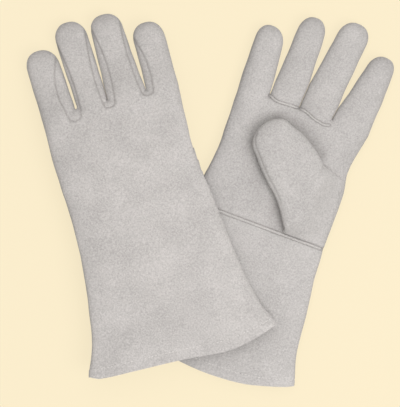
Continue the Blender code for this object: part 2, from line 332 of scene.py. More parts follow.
class Pattern:
    """One glove's flat pattern, and where the frame puts it."""

    def __init__(self, glove):
        self.glove = glove
        wrist = self.joint("wrist_bend")
        across = Vector(wrist["axis"]) * glove.palm_up
        self.turn = math.atan2(across.y, across.x)
        along = Vector((-across.y, across.x, 0))
        self.origin = Vector(wrist["pos_m"]) - along * (WRIST - AXIS_GAP)
        self.half = sampled([(0, CUFF_HALF), (WRIST, CUFF_HALF), (WRIST + PALM_RISE, PALM_HALF),
                             (glove.knuckle - KNUCKLE_TAPER, FINGER_HALF),
                             (glove.knuckle, FINGER_HALF)])
        self.little_edge = sampled([(row[0] * MM, row[1] * MM) for row in glove.outline])
        self.index_edge = sampled([(row[0] * MM, row[2] * MM) for row in glove.outline])
        self.mouth = sampled([(share, rise * MM) for share, rise in glove.mouth])
        tips = max(finger.tip_y for finger in glove.fingers) * MM
        stops = (0, WRIST, glove.knuckle, glove.knuckle + UP_THE_FINGERS, tips)
        self.under = sampled([(stop, height * MM) for stop, height in zip(stops, UNDER)])

    def joint(self, name):
        wanted = f"{self.glove.name}_{name}"
        return next(j for j in frame["record"]["behaviour"]["joints"] if j["name"] == wanted)

    def bow(self, points):
        """Bows the cuff's mouth, in the flat pattern."""
        edge = self.glove.outline[0][2] * MM
        fade = np.clip(1 - points[:, 1] / MOUTH_FADE, 0, 1.2) ** 2
        bowed = points.copy()
        bowed[:, 1] += self.mouth(points[:, 0] / edge) * fade
        return bowed

    def settle(self, points):
        """Flat pattern points, as an array, to the row frame."""
        points = np.asarray(points, float).reshape(-1, 3)
        x, y, z = self.bow(points).T
        half = self.half(y)
        if self.glove.palm_up > 0:
            height = np.maximum(z, REST_CLIP - half) + half - REST_CLIP
        else:
            height = np.maximum(half + self.under(y) - z, LEAST_HEIGHT)
        cosine, sine = math.cos(self.turn), math.sin(self.turn)
        return np.column_stack((self.origin.x + x * cosine - y * sine,
                                self.origin.y + x * sine + y * cosine, height))

    def place(self, x, y, z=0.0):
        return Vector(self.settle([(x, y, z)])[0])

    def top(self, x, y):
        """Height of the hand's palm side above its middle."""
        middle = (self.little_edge(y) + self.index_edge(y)) / 2
        across = (self.index_edge(y) - self.little_edge(y)) / 2
        share = np.clip(np.abs((x - middle) / across), 0, 1)
        return self.half(y) * (1 - share**HAND_POWER) ** (1 / HAND_POWER)

    def hand_stations(self, start, end, count):
        stations = []
        for step in range(count + 1):
            y = start + (end - start) * step / count
            stations.append(Station(Vector((self.little_edge(y), y)),
                                    Vector((self.index_edge(y), y)), self.half(y)))
        return stations


def dome(start, reach, bluntness):
    """Stations that round off the end of a finger or thumb."""
    middle = (start.little + start.index) / 2
    across = (start.index - start.little) / 2
    stations = []
    for step in range(DOME_SECTIONS + 1):
        turn = DOME_TURN * step / DOME_SECTIONS
        narrow = math.cos(turn) ** bluntness
        centre = middle + reach * math.sin(turn)
        stations.append(Station(centre - across * narrow, centre + across * narrow,
                                start.half * math.cos(turn)))
    return stations


def finger_stations(glove, finger, root=0.0, pinch=(0.0, 0.0)):
    """Stations of a finger, starting `root` below the knuckle line, with its sides `pinch` in."""
    base_y = glove.knuckle
    centre = Vector((finger.tip_x * MM + (pinch[0] - pinch[1]) / 2, finger.tip_y * MM - TIP_LENGTH))
    tip_across = Vector((finger.tip_half * MM - (pinch[0] + pinch[1]) / 2, 0))
    little = Vector((finger.little * MM + pinch[0], base_y))
    index = Vector((finger.index * MM - pinch[1], base_y))
    stations = []
    if root:
        inset = Vector((ROOT_TAPER, 0))
        stations.append(Station(little + inset - Vector((0, root)), index - inset - Vector((0, root)),
                                FINGER_HALF - ROOT_TAPER))
    for step in range(FINGER_SECTIONS):
        t = step / FINGER_SECTIONS
        stations.append(Station(little.lerp(centre - tip_across, t),
                                index.lerp(centre + tip_across, t), FINGER_HALF))
    lean = (centre - (little + index) / 2).normalized()
    return stations + dome(Station(centre - tip_across, centre + tip_across, FINGER_HALF),
                           lean * TIP_LENGTH, FINGER_BLUNTNESS)


def finger_side(glove, finger, side, y):
    """Where a finger's straight side is at y: the index side for 1, the little side for -1."""
    base = (finger.index if side > 0 else finger.little) * MM
    tip = (finger.tip_x + side * finger.tip_half) * MM
    return base + (tip - base) * (y - glove.knuckle) / (finger.tip_y * MM - TIP_LENGTH - glove.knuckle)


def gap_middle(glove, index, y):
    """The middle of the gap between two neighbouring fingers at y."""
    left, right = glove.fingers[index], glove.fingers[index + 1]
    return (finger_side(glove, left, 1, y) + finger_side(glove, right, -1, y)) / 2


def pinched(place):
    """How far each side of a finger is held in for the remesh: only where another finger is near."""
    return (FINGER_PINCH if place > 0 else 0.0), (FINGER_PINCH if place < 3 else 0.0)


def easing(share):
    """From 0 to 1, smooth at both ends."""
    share = np.clip(share, 0, 1)
    return share * share * (3 - 2 * share)


def closing(glove, gap, y):
    """How nearly two neighbouring fingers touch at y: 1 where they do, 0 where they stand apart."""
    length = glove.closed[gap] * MM
    whole = min(finger.tip_y for finger in glove.fingers[gap:gap + 2]) * MM - TIP_LENGTH - glove.knuckle
    up = np.maximum(y - glove.knuckle, MM)
    return 1 - np.clip((up - length) * whole / ((whole - length) * up), 0, 1)


def let_out(glove, points):
    """Widens the pinched fingers again, and closes the gaps where neighbours touch."""
    x, y = points[:, 0], points[:, 1]
    fade = easing((y - glove.knuckle) / LET_OUT_FADE)
    owner = sum((x > gap_middle(glove, index, y)).astype(int) for index in range(3))
    moved = points.copy()
    for place, finger in enumerate(glove.fingers):
        low, high = finger_side(glove, finger, -1, y), finger_side(glove, finger, 1, y)
        held_low, held_high = low + pinched(place)[0], high - pinched(place)[1]
        if place > 0:
            touching = gap_middle(glove, place - 1, y) + TOUCH_GAP
            low = low + GAP_LEFT + glove.spread[place - 1][1] * MM
            low = low + (touching - low) * closing(glove, place - 1, y)
        if place < 3:
            touching = gap_middle(glove, place, y) - TOUCH_GAP
            high = high - GAP_LEFT - glove.spread[place][0] * MM
            high = high + (touching - high) * closing(glove, place, y)
        wider = low + (x - held_low) * (high - low) / (held_high - held_low)
        moved[:, 0] = np.where(owner == place, x + (wider - x) * fade, moved[:, 0])
    return moved


def thumb_stations(glove):
    stations = []
    rows = glove.thumb
    for step in range(THUMB_SECTIONS + 1):
        at = step * (len(rows) - 1) / THUMB_SECTIONS
        low = [through([(i, row[0][axis]) for i, row in enumerate(rows)], at) for axis in (0, 1)]
        high = [through([(i, row[1][axis]) for i, row in enumerate(rows)], at) for axis in (0, 1)]
        stations.append(Station(Vector(low) * MM, Vector(high) * MM, THUMB_HALF))
    last, before = stations[-1], stations[-2]
    lean = ((last.little + last.index) - (before.little + before.index)).normalized()
    return stations[:-1] + dome(last, lean * TIP_LENGTH, THUMB_BLUNTNESS)


def section(station, power, count, inset=0.0, lift=0.0):
    """Points round one cross-section, in the flat pattern."""
    middle = (station.little + station.index) / 2
    across = (station.index - station.little) / 2
    reach = max(across.length - inset, LEAST_REACH)
    rise = max(station.half - inset, LEAST_RISE)
    aim = across.normalized()
    ring = []
    for step in range(count):
        angle = 2 * math.pi * step / count
        cosine, sine = math.cos(angle), math.sin(angle)
        flat = middle + aim * reach * blunt(cosine, 2 / power)
        ring.append((flat.x, flat.y, lift + rise * blunt(sine, 2 / power)))
    return ring


def tube(stations, power, count, inset=0.0, lift=0.0, start_cap=True, end_cap=True):
    """Vertices and faces of a tube through cross-sections."""
    points, faces = [], []
    for station in stations:
        points += section(station, power, count, inset, lift)
    for row in range(len(stations) - 1):
        for column in range(count):
            beside = (column + 1) % count
            faces.append((row * count + column, (row + 1) * count + column,
                          (row + 1) * count + beside, row * count + beside))
    if start_cap:
        faces.append(tuple(range(count)))
    if end_cap:
        last = (len(stations) - 1) * count
        faces.append(tuple(last + column for column in reversed(range(count))))
    return points, faces


def mesh_of(name, points, faces):
    mesh = bpy.data.meshes.new(name)
    mesh.from_pydata([tuple(point) for point in points], [], faces)
    mesh.update()
    return mesh


def coordinates(mesh):
    flat = np.empty(len(mesh.vertices) * 3)
    mesh.vertices.foreach_get("co", flat)
    return flat.reshape(-1, 3)


def set_coordinates(mesh, points):
    mesh.vertices.foreach_set("co", np.asarray(points, float).ravel())
    mesh.update()


def normals(mesh):
    flat = np.empty(len(mesh.vertices) * 3)
    mesh.vertex_normals.foreach_get("vector", flat)
    return flat.reshape(-1, 3)


def with_modifiers(piece):
    """The piece's mesh with its modifiers applied; the piece keeps none."""
    graph = bpy.context.evaluated_depsgraph_get()
    mesh = bpy.data.meshes.new_from_object(piece.evaluated_get(graph))
    piece.modifiers.clear()
    piece.data = mesh
    return mesh


def add_object(name, data):
    piece = bpy.data.objects.new(name, data)
    bpy.context.scene.collection.objects.link(piece)
    return piece


def fused(solids):
    """One smooth skin round several overlapping solids."""
    points, faces = [], []
    for solid_points, solid_faces in solids:
        base = len(points)
        points += solid_points
        faces += [tuple(base + corner for corner in face) for face in solid_faces]
    piece = add_object("fused", mesh_of("fused", points, faces))
    remesh = piece.modifiers.new("skin", "REMESH")
    remesh.mode = "VOXEL"
    remesh.voxel_size = VOXEL
    bpy.context.view_layer.update()
    mesh = with_modifiers(piece)
    bpy.data.objects.remove(piece)
    relax(mesh)
    return mesh


def relax(mesh):
    """Smooths a mesh, and puts back the thickness that smoothing takes."""
    points = coordinates(mesh)
    edges = np.empty(len(mesh.edges) * 2, int)
    mesh.edges.foreach_get("vertices", edges)
    first, second = edges.reshape(-1, 2).T
    count = np.bincount(np.concatenate((first, second)), minlength=len(points))[:, None]
    for step in range(SMOOTH_ROUNDS * 2):
        total = np.zeros_like(points)
        for axis in range(3):
            total[:, axis] = (np.bincount(first, points[second, axis], len(points))
                              + np.bincount(second, points[first, axis], len(points)))
        amount = SMOOTH_IN if step % 2 == 0 else SMOOTH_OUT
        points = points + amount * (total / np.maximum(count, 1) - points)
    set_coordinates(mesh, points)


def distance_to(path, points):
    """Distance in plan from each point to a line through the path's points."""
    best = np.full(len(points), 2 * FAR)
    for start, end in zip(path[:-1], path[1:]):
        start, end = np.array(start), np.array(end)
        step = end - start
        share = np.clip(((points[:, :2] - start) @ step) / (step @ step), 0, 1)
        nearest = start + share[:, None] * step
        best = np.minimum(best, np.linalg.norm(points[:, :2] - nearest, axis=1))
    return best


def smooth_path(points):
    """A finer line through points given in millimetres."""
    knots = list(enumerate(points))
    fine = []
    for step in range((len(points) - 1) * PATH_STEPS + 1):
        at = step / PATH_STEPS
        fine.append(tuple(through([(i, point[axis]) for i, point in knots], at) * MM
                          for axis in (0, 1)))
    return fine


def crotch(glove, index):
    """The x between two neighbouring fingers at the knuckle line."""
    return (glove.fingers[index].index + glove.fingers[index + 1].little) / 2


def fourchette_path(glove, index):
    """The long U that a fourchette's seam makes on the back, round one finger gap."""
    knuckle = glove.knuckle / MM
    left, right = glove.fingers[index], glove.fingers[index + 1]
    middle = crotch(glove, index)
    on_left, on_right, below = FOURCHETTE_SEAMS[index]

    def beside(finger, side, reach, share):
        y = glove.knuckle + (finger.tip_y * MM - TIP_LENGTH - glove.knuckle) * share
        taper = through(FOURCHETTE_TAPER, share)
        return finger_side(glove, finger, side, y) / MM - side * reach * taper, y / MM

    shares = (0.1, 0.35, 0.7, 1.1)
    down = [beside(left, 1, on_left, share) for share in reversed(shares)]
    up = [beside(right, -1, on_right, share) for share in shares]
    narrow = FOURCHETTE_TAPER[0][1]
    start, end = middle - on_left * narrow, middle + on_right * narrow
    round_end = []
    for degrees in (20, 55, 90, 125, 160):
        angle = math.radians(degrees)
        reach = blunt(math.cos(angle), FOURCHETTE_BLUNTNESS)
        depth = (below + FOURCHETTE_START) * blunt(math.sin(angle), FOURCHETTE_BLUNTNESS)
        round_end.append(((start + end) / 2 - (end - start) / 2 * reach,
                          knuckle + FOURCHETTE_START - depth))
    return smooth_path(down + round_end + up)


def finger_base_path(glove):
    """The seam across the bases of the ring and middle fingers, on the palm side."""
    knuckle = glove.knuckle / MM
    left, gap, right = (crotch(glove, index) for index in range(3))
    return smooth_path([(left - 0.5, knuckle + 4.5), (left + 8, knuckle + 0.7),
                        ((left + gap) / 2 + 2, knuckle + 0.9), (gap, knuckle + 2),
                        (gap + 8, knuckle + 0.6), ((gap + right) / 2, knuckle - 3),
                        (right - 6, knuckle - 5), (right, knuckle - 3.5)])


def enclosed(path, points):
    """Which points lie in plan inside the loop that closes the path."""
    x, y = points[:, 0], points[:, 1]
    inside = np.zeros(len(points), bool)
    for (start_x, start_y), (end_x, end_y) in zip(path, path[1:] + path[:1]):
        if start_y == end_y:
            continue
        at = start_x + (y - start_y) * (end_x - start_x) / (end_y - start_y)
        inside ^= ((start_y > y) != (end_y > y)) & (x < at)
    return inside


def groove(distance, seam):
    """How far a seam's groove pushes the surface out: less than nothing."""
    return -seam.depth * MM * bell(distance, seam.width * MM)


def dark_line(distance, seam):
    """Where a seam's dark line lies, from 0 to 1: partly the seam's own dark join, partly painted shade in
    its crease.
    """
    return bell(distance - seam.off * MM, seam.line * MM)


def undulation(points, wave, seed):
    """Soft unevenness of the leather, as one height for each point."""
    scale, height = wave
    shift = Vector((seed * 3.7, seed * 1.3, seed * 2.9))
    return np.array([noise.noise(Vector(point) / scale + shift) for point in points]) * height


def set_shade(mesh, values):
    """How much each point of the leather is darkened, from 0 to 1: the seams' dark lines, partly painted
    shade in their creases, and painted shade beside the thumb.
    """
    attribute = mesh.attributes.get("seam_shade") or mesh.attributes.new("seam_shade", "FLOAT", "POINT")
    attribute.data.foreach_set("value", np.clip(values, 0, 1).astype(np.float32))


def leave_light(mesh):
    """Gives a mesh no darkening anywhere."""
    set_shade(mesh, np.zeros(len(mesh.vertices)))


def clear_of_gaps(glove, points):
    """How freely the surface may be pushed, from 0 where it faces the next finger to 1."""
    x, y = points[:, 0], points[:, 1]
    nearest = np.full(len(points), FAR)
    for gap in range(3):
        nearest = np.minimum(nearest, np.abs(x - gap_middle(glove, gap, y)))
    free = np.clip(nearest / GAP_MARGIN, 0, 1)
    return np.where(y > glove.knuckle + 2 * MM, free, 1)


def thumb_hollow(glove, points, palm):
    """How far the palm sinks beside the folded thumb: deep on the fingers' side, broad below it."""
    beside_index, beside_little = [], []
    for station in thumb_stations(glove)[1:-4]:
        aim = (station.index - station.little).normalized()
        beside_index.append(tuple(station.index + aim * HOLLOW_OFF * MM))
        beside_little.append(tuple(station.little - aim * BROAD_HOLLOW_OFF * MM))
    near = np.where(palm, distance_to(beside_index[1:], points), FAR)
    far = np.where(palm, distance_to(beside_little, points), 2 * FAR)
    return (HOLLOW_DEPTH * bell(near, HOLLOW_WIDTH)
            + BROAD_HOLLOW_DEPTH * HOLLOW_DEPTH * bell(far, BROAD_HOLLOW_WIDTH * HOLLOW_WIDTH))


def hand_skin(pattern):
    """The skin of cuff, hand and fingers in the flat pattern, with its seams sunk in."""
    glove = pattern.glove
    body = pattern.hand_stations(BODY_START, glove.knuckle - BODY_SHORT, BODY_SECTIONS)
    last = body[-1]
    for beyond, share in BODY_END:
        step = Vector((0, beyond * MM))
        body.append(Station(last.little + step, last.index + step, last.half * share))
    solids = [tube(body, HAND_POWER, BODY_ROUND)]
    for place, finger in enumerate(glove.fingers):
        stations = finger_stations(glove, finger, FINGER_ROOT, pinched(place))
        root = stations[0]
        low = max(root.little.x, pattern.little_edge(root.little.y) + ROOT_INSET)
        high = min(root.index.x, pattern.index_edge(root.index.y) - ROOT_INSET)
        stations[0] = Station(Vector((low, root.little.y)), Vector((high, root.index.y)), root.half)
        solids.append(tube(stations, FINGER_POWER, FINGER_ROUND))
    mesh = fused(solids)
    set_coordinates(mesh, let_out(glove, coordinates(mesh)))
    points = coordinates(mesh)
    away = normals(mesh)
    seed = SEEDS[glove.name]
    push = undulation(points, BROAD_WAVE, seed) + undulation(points, FINE_WAVE, seed)
    back = points[:, 2] < 1 * MM
    palm = points[:, 2] > -1 * MM
    seams = np.full(len(points), FAR)
    for index in range(3):
        path = fourchette_path(glove, index)
        near = np.where(back, distance_to(path, points), FAR)
        seams = np.minimum(seams, near)
        strip = enclosed(path, points) & back
        push -= np.where(strip, STEP_DOWN * np.clip(near / STEP_WIDTH, 0, 1), 0)
        push += np.where(strip, 0, LIP_HEIGHT * bell(near, LIP_WIDTH))
    base = np.where(palm, distance_to(finger_base_path(glove), points), FAR)
    push += groove(base, BASE_SEAM)
    wrist_line = np.where(palm, np.abs(points[:, 1] - WRIST), FAR)
    side_line = np.where(np.abs(away[:, 2]) < 0.5, np.abs(points[:, 2]), FAR)
    hem_line = np.abs(points[:, 1] - HEM_LINE)
    push += groove(seams, FOURCHETTE_SEAM) + groove(wrist_line, WRIST_SEAM)
    push += groove(side_line, SIDE_SEAM) + groove(hem_line, HEM_SEAM)
    push -= thumb_hollow(glove, points, palm)
    push = (push + RELIEF) * clear_of_gaps(glove, points)
    # Painted shade, heavier on the welt's upper side than below it
    wrist_shade = np.where(points[:, 1] > WRIST, WRIST_SEAM.shade, WRIST_SHADE_BELOW)
    # Dark lines along the seams: partly the seams' own dark joins, partly painted shade in their creases
    shade = (FOURCHETTE_SEAM.shade * dark_line(seams, FOURCHETTE_SEAM)
             + wrist_shade * dark_line(wrist_line, WRIST_SEAM)
             + BASE_SEAM.shade * dark_line(base, BASE_SEAM)
             + SIDE_SEAM.shade * dark_line(side_line, SIDE_SEAM))
    # Painted shade in the crevice beside the folded thumb, as deep as the hollow there
    shade += HOLLOW_PAINTED_SHADE * thumb_hollow(glove, points, palm) / HOLLOW_DEPTH
    set_coordinates(mesh, points + away * push[:, None])
    set_shade(mesh, shade)
    return mesh


def cut_apart(glove, mesh):
    """Divides the skin below the knuckles and between the fingers, and trims it at the mouth."""
    split = glove.knuckle - SPLIT_BELOW_KNUCKLE
    work = bmesh.new()
    work.from_mesh(mesh)
    for height, drop in ((0, True), (split, False)):
        geometry = work.verts[:] + work.edges[:] + work.faces[:]
        bmesh.ops.bisect_plane(work, geom=geometry, dist=CUT_TOLERANCE, plane_co=(0, height, 0),
                               plane_no=(0, 1, 0), clear_inner=drop)
    for index in range(3):
        beyond = [face for face in work.faces if face.calc_center_median().y > split]
        edges = {edge for face in beyond for edge in face.edges}
        verts = {vert for face in beyond for vert in face.verts}
        start = Vector((gap_middle(glove, index, glove.knuckle), glove.knuckle, 0))
        along = Vector((gap_middle(glove, index, glove.knuckle + MM) - start.x, MM, 0))
        bmesh.ops.bisect_plane(work, geom=list(verts) + list(edges) + beyond, dist=CUT_TOLERANCE,
                               plane_co=start, plane_no=along.cross(Vector((0, 0, 1))))
    regions = {}
    for face in work.faces:
        centre = face.calc_center_median()
        if centre.y < split:
            key = "palm_shell" if centre.z > 0 else "back_shell"
        else:
            passed = sum(centre.x > gap_middle(glove, index, centre.y) for index in range(3))
            finger = glove.fingers[passed].name
            key = f"{finger}_{'front' if centre.z > 0 else 'back'}_shell"
        regions.setdefault(key, []).append(face)
    pieces = {}
    shade = work.verts.layers.float["seam_shade"]
    for key, faces in regions.items():
        verts = sorted({vert for face in faces for vert in face.verts}, key=lambda v: v.index)
        work.verts.index_update()
        number = {vert: place for place, vert in enumerate(verts)}
        cut = mesh_of(key, [vert.co for vert in verts],
                      [tuple(number[vert] for vert in face.verts) for face in faces])
        set_shade(cut, np.array([vert[shade] for vert in verts]))
        pieces[key] = cut
    work.free()
    return pieces


def finish_piece(piece, material, slot, *nodes):
    """Gives a piece its material, and hides the CAD nodes that it stands for. The slot is not used."""
    piece.data.materials.clear()
    piece.data.materials.append(material)
    if nodes:
        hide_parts(*nodes)


def thicken(piece, thickness):
    """Gives a shell its thickness, inwards."""
    solidify = piece.modifiers.new("thickness", "SOLIDIFY")
    solidify.thickness = thickness
    solidify.offset = -1
    bpy.context.view_layer.update()
    mesh = with_modifiers(piece)
    mesh.shade_smooth()
    mesh.set_sharp_from_angle(angle=SHARP_ANGLE)


def lay_down(pattern, name, mesh):
    """Puts a flat pattern mesh where the glove lies."""
    set_coordinates(mesh, pattern.settle(coordinates(mesh)))
    if pattern.glove.palm_up < 0:
        mesh.flip_normals()
    return add_object(f"{pattern.glove.name}_{name}", mesh)


def bend_at_knuckle(pattern, piece, finger):
    glove = pattern.glove
    middle = (finger.little + finger.index) / 2 * MM
    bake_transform(piece, f"{glove.name}_hand", f"{glove.name}_{finger.name}",
             start=pattern.place(middle, glove.knuckle - KNUCKLE_BEND),
             end=pattern.place(middle, glove.knuckle + KNUCKLE_BEND))


def bend_at_wrist(pattern, piece):
    name = pattern.glove.name
    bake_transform(piece, f"{name}_hand", f"{name}_cuff",
             start=pattern.place(0, WRIST + WRIST_BEND), end=pattern.place(0, WRIST - WRIST_BEND))


def build_shells(pattern, looks):
    """The leather of cuff, hand and fingers. Returns a tree of its outer surface."""
    glove = pattern.glove
    name = glove.name
    mesh = hand_skin(pattern)
    laid = pattern.settle(coordinates(mesh))
    surface = BVHTree.FromPolygons([tuple(point) for point in laid],
                                   [tuple(face.vertices) for face in mesh.polygons])
    shells = cut_apart(glove, mesh)
    for side in ("palm", "back"):
        piece = lay_down(pattern, f"{side}_shell", shells[f"{side}_shell"])
        thicken(piece, LEATHER)
        finish_piece(piece, looks[side], f"suede_{side}", f"{name}_cuff_{side}", f"{name}_hand_{side}")
        bend_at_wrist(pattern, piece)
    for finger in glove.fingers:
        for part, side in (("front", "palm"), ("back", "back")):
            key = f"{finger.name}_{part}_shell"
            piece = lay_down(pattern, key, shells[key])
            thicken(piece, LEATHER)
            finish_piece(piece, looks[side], f"suede_{side}", f"{name}_{finger.name}_{part}")
            bend_at_knuckle(pattern, piece, finger)
    return surface


def build_thumb(pattern, looks):
    """The thumb folded over the palm, and the wing that joins it to the hand's edge."""
    glove = pattern.glove
    name = glove.name
    lift = PALM_HALF + THUMB_HALF + THUMB_CLEARANCE
    stations = thumb_stations(glove)
    solids = [tube(stations, FINGER_POWER, THUMB_ROUND, lift=lift), wing_solid(pattern, lift)]
    mesh = fused(solids)
    points = coordinates(mesh)
    away = normals(mesh)
    edge = []
    for station in stations[:-3]:
        aim = (station.index - station.little).normalized()
        edge.append(tuple(station.little + aim * THUMB_SEAM_INSET * MM))
    top = points[:, 2] > lift
    seam = np.where(top, distance_to(edge, points), FAR)
    low_y, high_y = glove.thumb[0][0][1] * MM, glove.thumb[-1][0][1] * MM
    fade = easing((points[:, 1] - low_y) / (high_y - low_y) * 3 - 0.6)
    push = undulation(points, THUMB_WAVE, SEEDS["thumb"]) + groove(seam, THUMB_SEAM) * fade
    # The thumb seam's dark line: partly its own dark join, partly painted shade in its crease
    set_shade(mesh, THUMB_SEAM.shade * dark_line(seam, THUMB_SEAM) * fade)
    set_coordinates(mesh, points + away * push[:, None])
    piece = lay_down(pattern, "thumb_shell", mesh)
    mesh.shade_smooth()
    finish_piece(piece, looks["palm"], "suede_palm", f"{name}_thumb_outer", f"{name}_thumb_inner",
                 f"{name}_thumb_lining")
    low, high = (Vector(point) * MM for point in glove.thumb[0])
    fold = (low + high) / 2
    aim = Vector((-(high - low).y, (high - low).x)).normalized()
    before, after = fold - aim * THUMB_BEND, fold + aim * THUMB_BEND
    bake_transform(piece, f"{name}_hand", f"{name}_thumb", start=pattern.place(*before),
             end=pattern.place(*after))


def wing_solid(pattern, lift):
    """A solid that falls from the thumb's fold to the hand's edge, lying on the palm."""
    low, high = (Vector(point) * MM for point in pattern.glove.thumb[0])
    low.y = WRIST + WING_START
    end = high.y - WING_DROP
    edge_low = Vector((pattern.index_edge(low.y) - WING_INSET, low.y))
    edge_high = Vector((pattern.index_edge(end) - WING_INSET, end))
    across, along = WING_COLUMNS, WING_ROWS
    points, faces = [], []
    for surface in (1, 0):
        for row in range(along + 1):
            for column in range(across + 1):
                u, v = column / across, row / along
                flat = low.lerp(high, v).lerp(edge_low.lerp(edge_high, v), u)
                palm = pattern.top(flat.x, flat.y)
                fall = (1 + math.cos(math.pi * u)) / 2
                rim = min(v, 1 - v, WING_RIM) / WING_RIM
                shoulder = WING_SHOULDER + (1 - WING_SHOULDER) * math.sin(rim * math.pi / 2)
                rise = (lift + THUMB_HALF - PALM_HALF) * fall * shoulder + WING_LIFT
                points.append((flat.x, flat.y, palm + rise if surface else palm - WING_SINK))
    width = across + 1
    base = width * (along + 1)
    for row in range(along):
        for column in range(across):
            corner = row * width + column
            faces.append((corner, corner + 1, corner + width + 1, corner + width))
            faces.append((base + corner, base + corner + width, base + corner + width + 1,
                          base + corner + 1))
    rim = (list(range(across)) + [row * width + across for row in range(along)]
           + [along * width + column for column in range(across, 0, -1)]
           + [row * width for row in range(along, 0, -1)])
    for place, corner in enumerate(rim):
        beside = rim[(place + 1) % len(rim)]
        faces.append((corner, base + corner, base + beside, beside))
    return points, faces


def build_linings(pattern, looks):
    glove = pattern.glove
    name = glove.name
    cuff = pattern.hand_stations(LINING_START, WRIST - LINING_GAP, 16)
    hand = pattern.hand_stations(WRIST, glove.knuckle - LINING_GAP, 12)
    parts = [("cuff", cuff, HAND_POWER, LINING_ROUND, False),
             ("hand", hand, HAND_POWER, LINING_ROUND, False)]
    for finger in glove.fingers:
        stations = finger_stations(glove, finger)[:-4]
        parts.append((finger.name, stations, FINGER_POWER, FINGER_LINING_ROUND, True))
    for body, stations, power, count, capped in parts:
        points, faces = tube(stations, power, count, LINING_INSET, start_cap=False, end_cap=capped)
        piece = lay_down(pattern, f"{body}_fleece", mesh_of(body, points, faces))
        leave_light(piece.data)
        thicken(piece, LINING)
        finish_piece(piece, looks["fleece"], "lining_fleece", f"{name}_{body}_lining")
        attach(piece, f"{name}_{body}")
    stations = pattern.hand_stations(FACING_START, FACING_END, 3)
    points, faces = tube(stations, HAND_POWER, BODY_ROUND, LEATHER + FACING_GAP, start_cap=False,
                         end_cap=False)
    piece = lay_down(pattern, "hem_facing", mesh_of("hem", points, faces))
    leave_light(piece.data)
    thicken(piece, FACING)
    finish_piece(piece, looks["palm"], "suede_palm", f"{name}_cuff_hem")
    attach(piece, f"{name}_cuff")


def build_fourchettes(pattern, looks):
    """The side strips of the fingers, just under the shells' skin."""
    glove = pattern.glove
    for place, finger in enumerate(glove.fingers):
        stations = finger_stations(glove, finger)[1:-3]
        for side, wanted in (("index", place < 3), ("little", place > 0)):
            if not wanted:
                continue
            points, faces = [], []
            facing = 0 if side == "index" else math.pi
            count = STRIP_COLUMNS
            for row, station in enumerate(stations):
                taper = 1 - max(row / (len(stations) - 1) - STRIP_FULL, 0) * STRIP_NARROWING
                share = min(FOURCHETTE_HALF * taper / station.half, STRIP_WIDEST)
                spread = math.asin(share ** (FINGER_POWER / 2))
                for step in range(count + 1):
                    angle = facing + spread * (step / count * 2 - 1)
                    points.append(strip_point(station, angle))
            for row in range(len(stations) - 1):
                for column in range(count):
                    corner = row * (count + 1) + column
                    faces.append((corner, corner + count + 1, corner + count + 2, corner + 1))
            piece = lay_down(pattern, f"{finger.name}_strip_{side}_side",
                             mesh_of("strip", points, faces))
            leave_light(piece.data)
            thicken(piece, STRIP_THICKNESS)
            finish_piece(piece, looks["side"], "suede_fourchette",
                         f"{glove.name}_{finger.name}_fourchette_{side}_side")
            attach(piece, f"{glove.name}_{finger.name}")


def strip_point(station, angle):
    """A point just beneath the skin of a finger's section."""
    middle = (station.little + station.index) / 2
    reach = (station.index - station.little).length / 2 - LEATHER
    cosine, sine = math.cos(angle), math.sin(angle)
    x = middle.x + reach * blunt(cosine, 2 / FINGER_POWER)
    rise = station.half - LEATHER
    return x, middle.y, rise * blunt(sine, 2 / FINGER_POWER)


def on_surface(pattern, surface, path, side, offset):
    """Points of a flat path, laid on the outer surface of one side of the glove."""
    laid = []
    for x, y in path:
        start = pattern.place(x, y, 0)
        up = side * pattern.glove.palm_up
        hit = surface.ray_cast(start, Vector((0, 0, up)))
        if hit[0] is not None:
            laid.append(hit[0] + Vector((0, 0, up * offset)))
    return laid


def cord(name, points, radius):
    """A welt or thread as a mesh tube along points."""
    curve = bpy.data.curves.new(name, "CURVE")
    curve.dimensions = "3D"
    curve.bevel_depth = radius
    curve.bevel_resolution = 3
    curve.use_fill_caps = True
    spline = curve.splines.new("POLY")
    spline.points.add(len(points) - 1)
    for point, target in zip(spline.points, points):
        point.co = (*target, 1)
    source = add_object(name, curve)
    bpy.context.view_layer.update()
    graph = bpy.context.evaluated_depsgraph_get()
    mesh = bpy.data.meshes.new_from_object(source.evaluated_get(graph))
    bpy.data.objects.remove(source)
    work = bmesh.new()
    work.from_mesh(mesh)
    bmesh.ops.remove_doubles(work, verts=work.verts, dist=1e-6)
    work.to_mesh(mesh)
    work.free()
    mesh.shade_smooth()
    leave_light(mesh)
    return add_object(name, mesh)


def build_welts(pattern, surface, looks):
    """Raised strips sewn into the wrist seam and the finger base seam, on the palm side."""
    glove = pattern.glove
    name = glove.name
    low, high = pattern.little_edge(WRIST), pattern.index_edge(WRIST)
    span = []
    for step in range(WELT_STEPS + 1):
        share = WELT_MARGIN + (1 - 2 * WELT_MARGIN) * step / WELT_STEPS
        span.append((low + (high - low) * share, WRIST))
    laid = on_surface(pattern, surface, span, 1, WRIST_WELT_RISE)
    piece = cord(f"{name}_wrist_welt_cord", laid, WRIST_WELT)
    finish_piece(piece, looks["welt"], "suede_welt", f"{name}_wrist_welt")
    bend_at_wrist(pattern, piece)
    path = finger_base_path(glove)
    gap = crotch(glove, 1) * MM
    halves = [("ring", [point for point in path if point[0] < gap - 0.5 * MM]),
              ("middle", [point for point in path if point[0] > gap + 0.5 * MM])]
    for (finger_name, points), finger in zip(halves, glove.fingers[1:3]):
        laid = on_surface(pattern, surface, points, 1, BASE_WELT_RISE)
        piece = cord(f"{name}_{finger_name}_base_cord", laid, BASE_WELT)
        nodes = [f"{name}_finger_base_welt"] if finger_name == "ring" else []
        finish_piece(piece, looks["welt"], "suede_welt", *nodes)
        bend_at_knuckle(pattern, piece, finger)


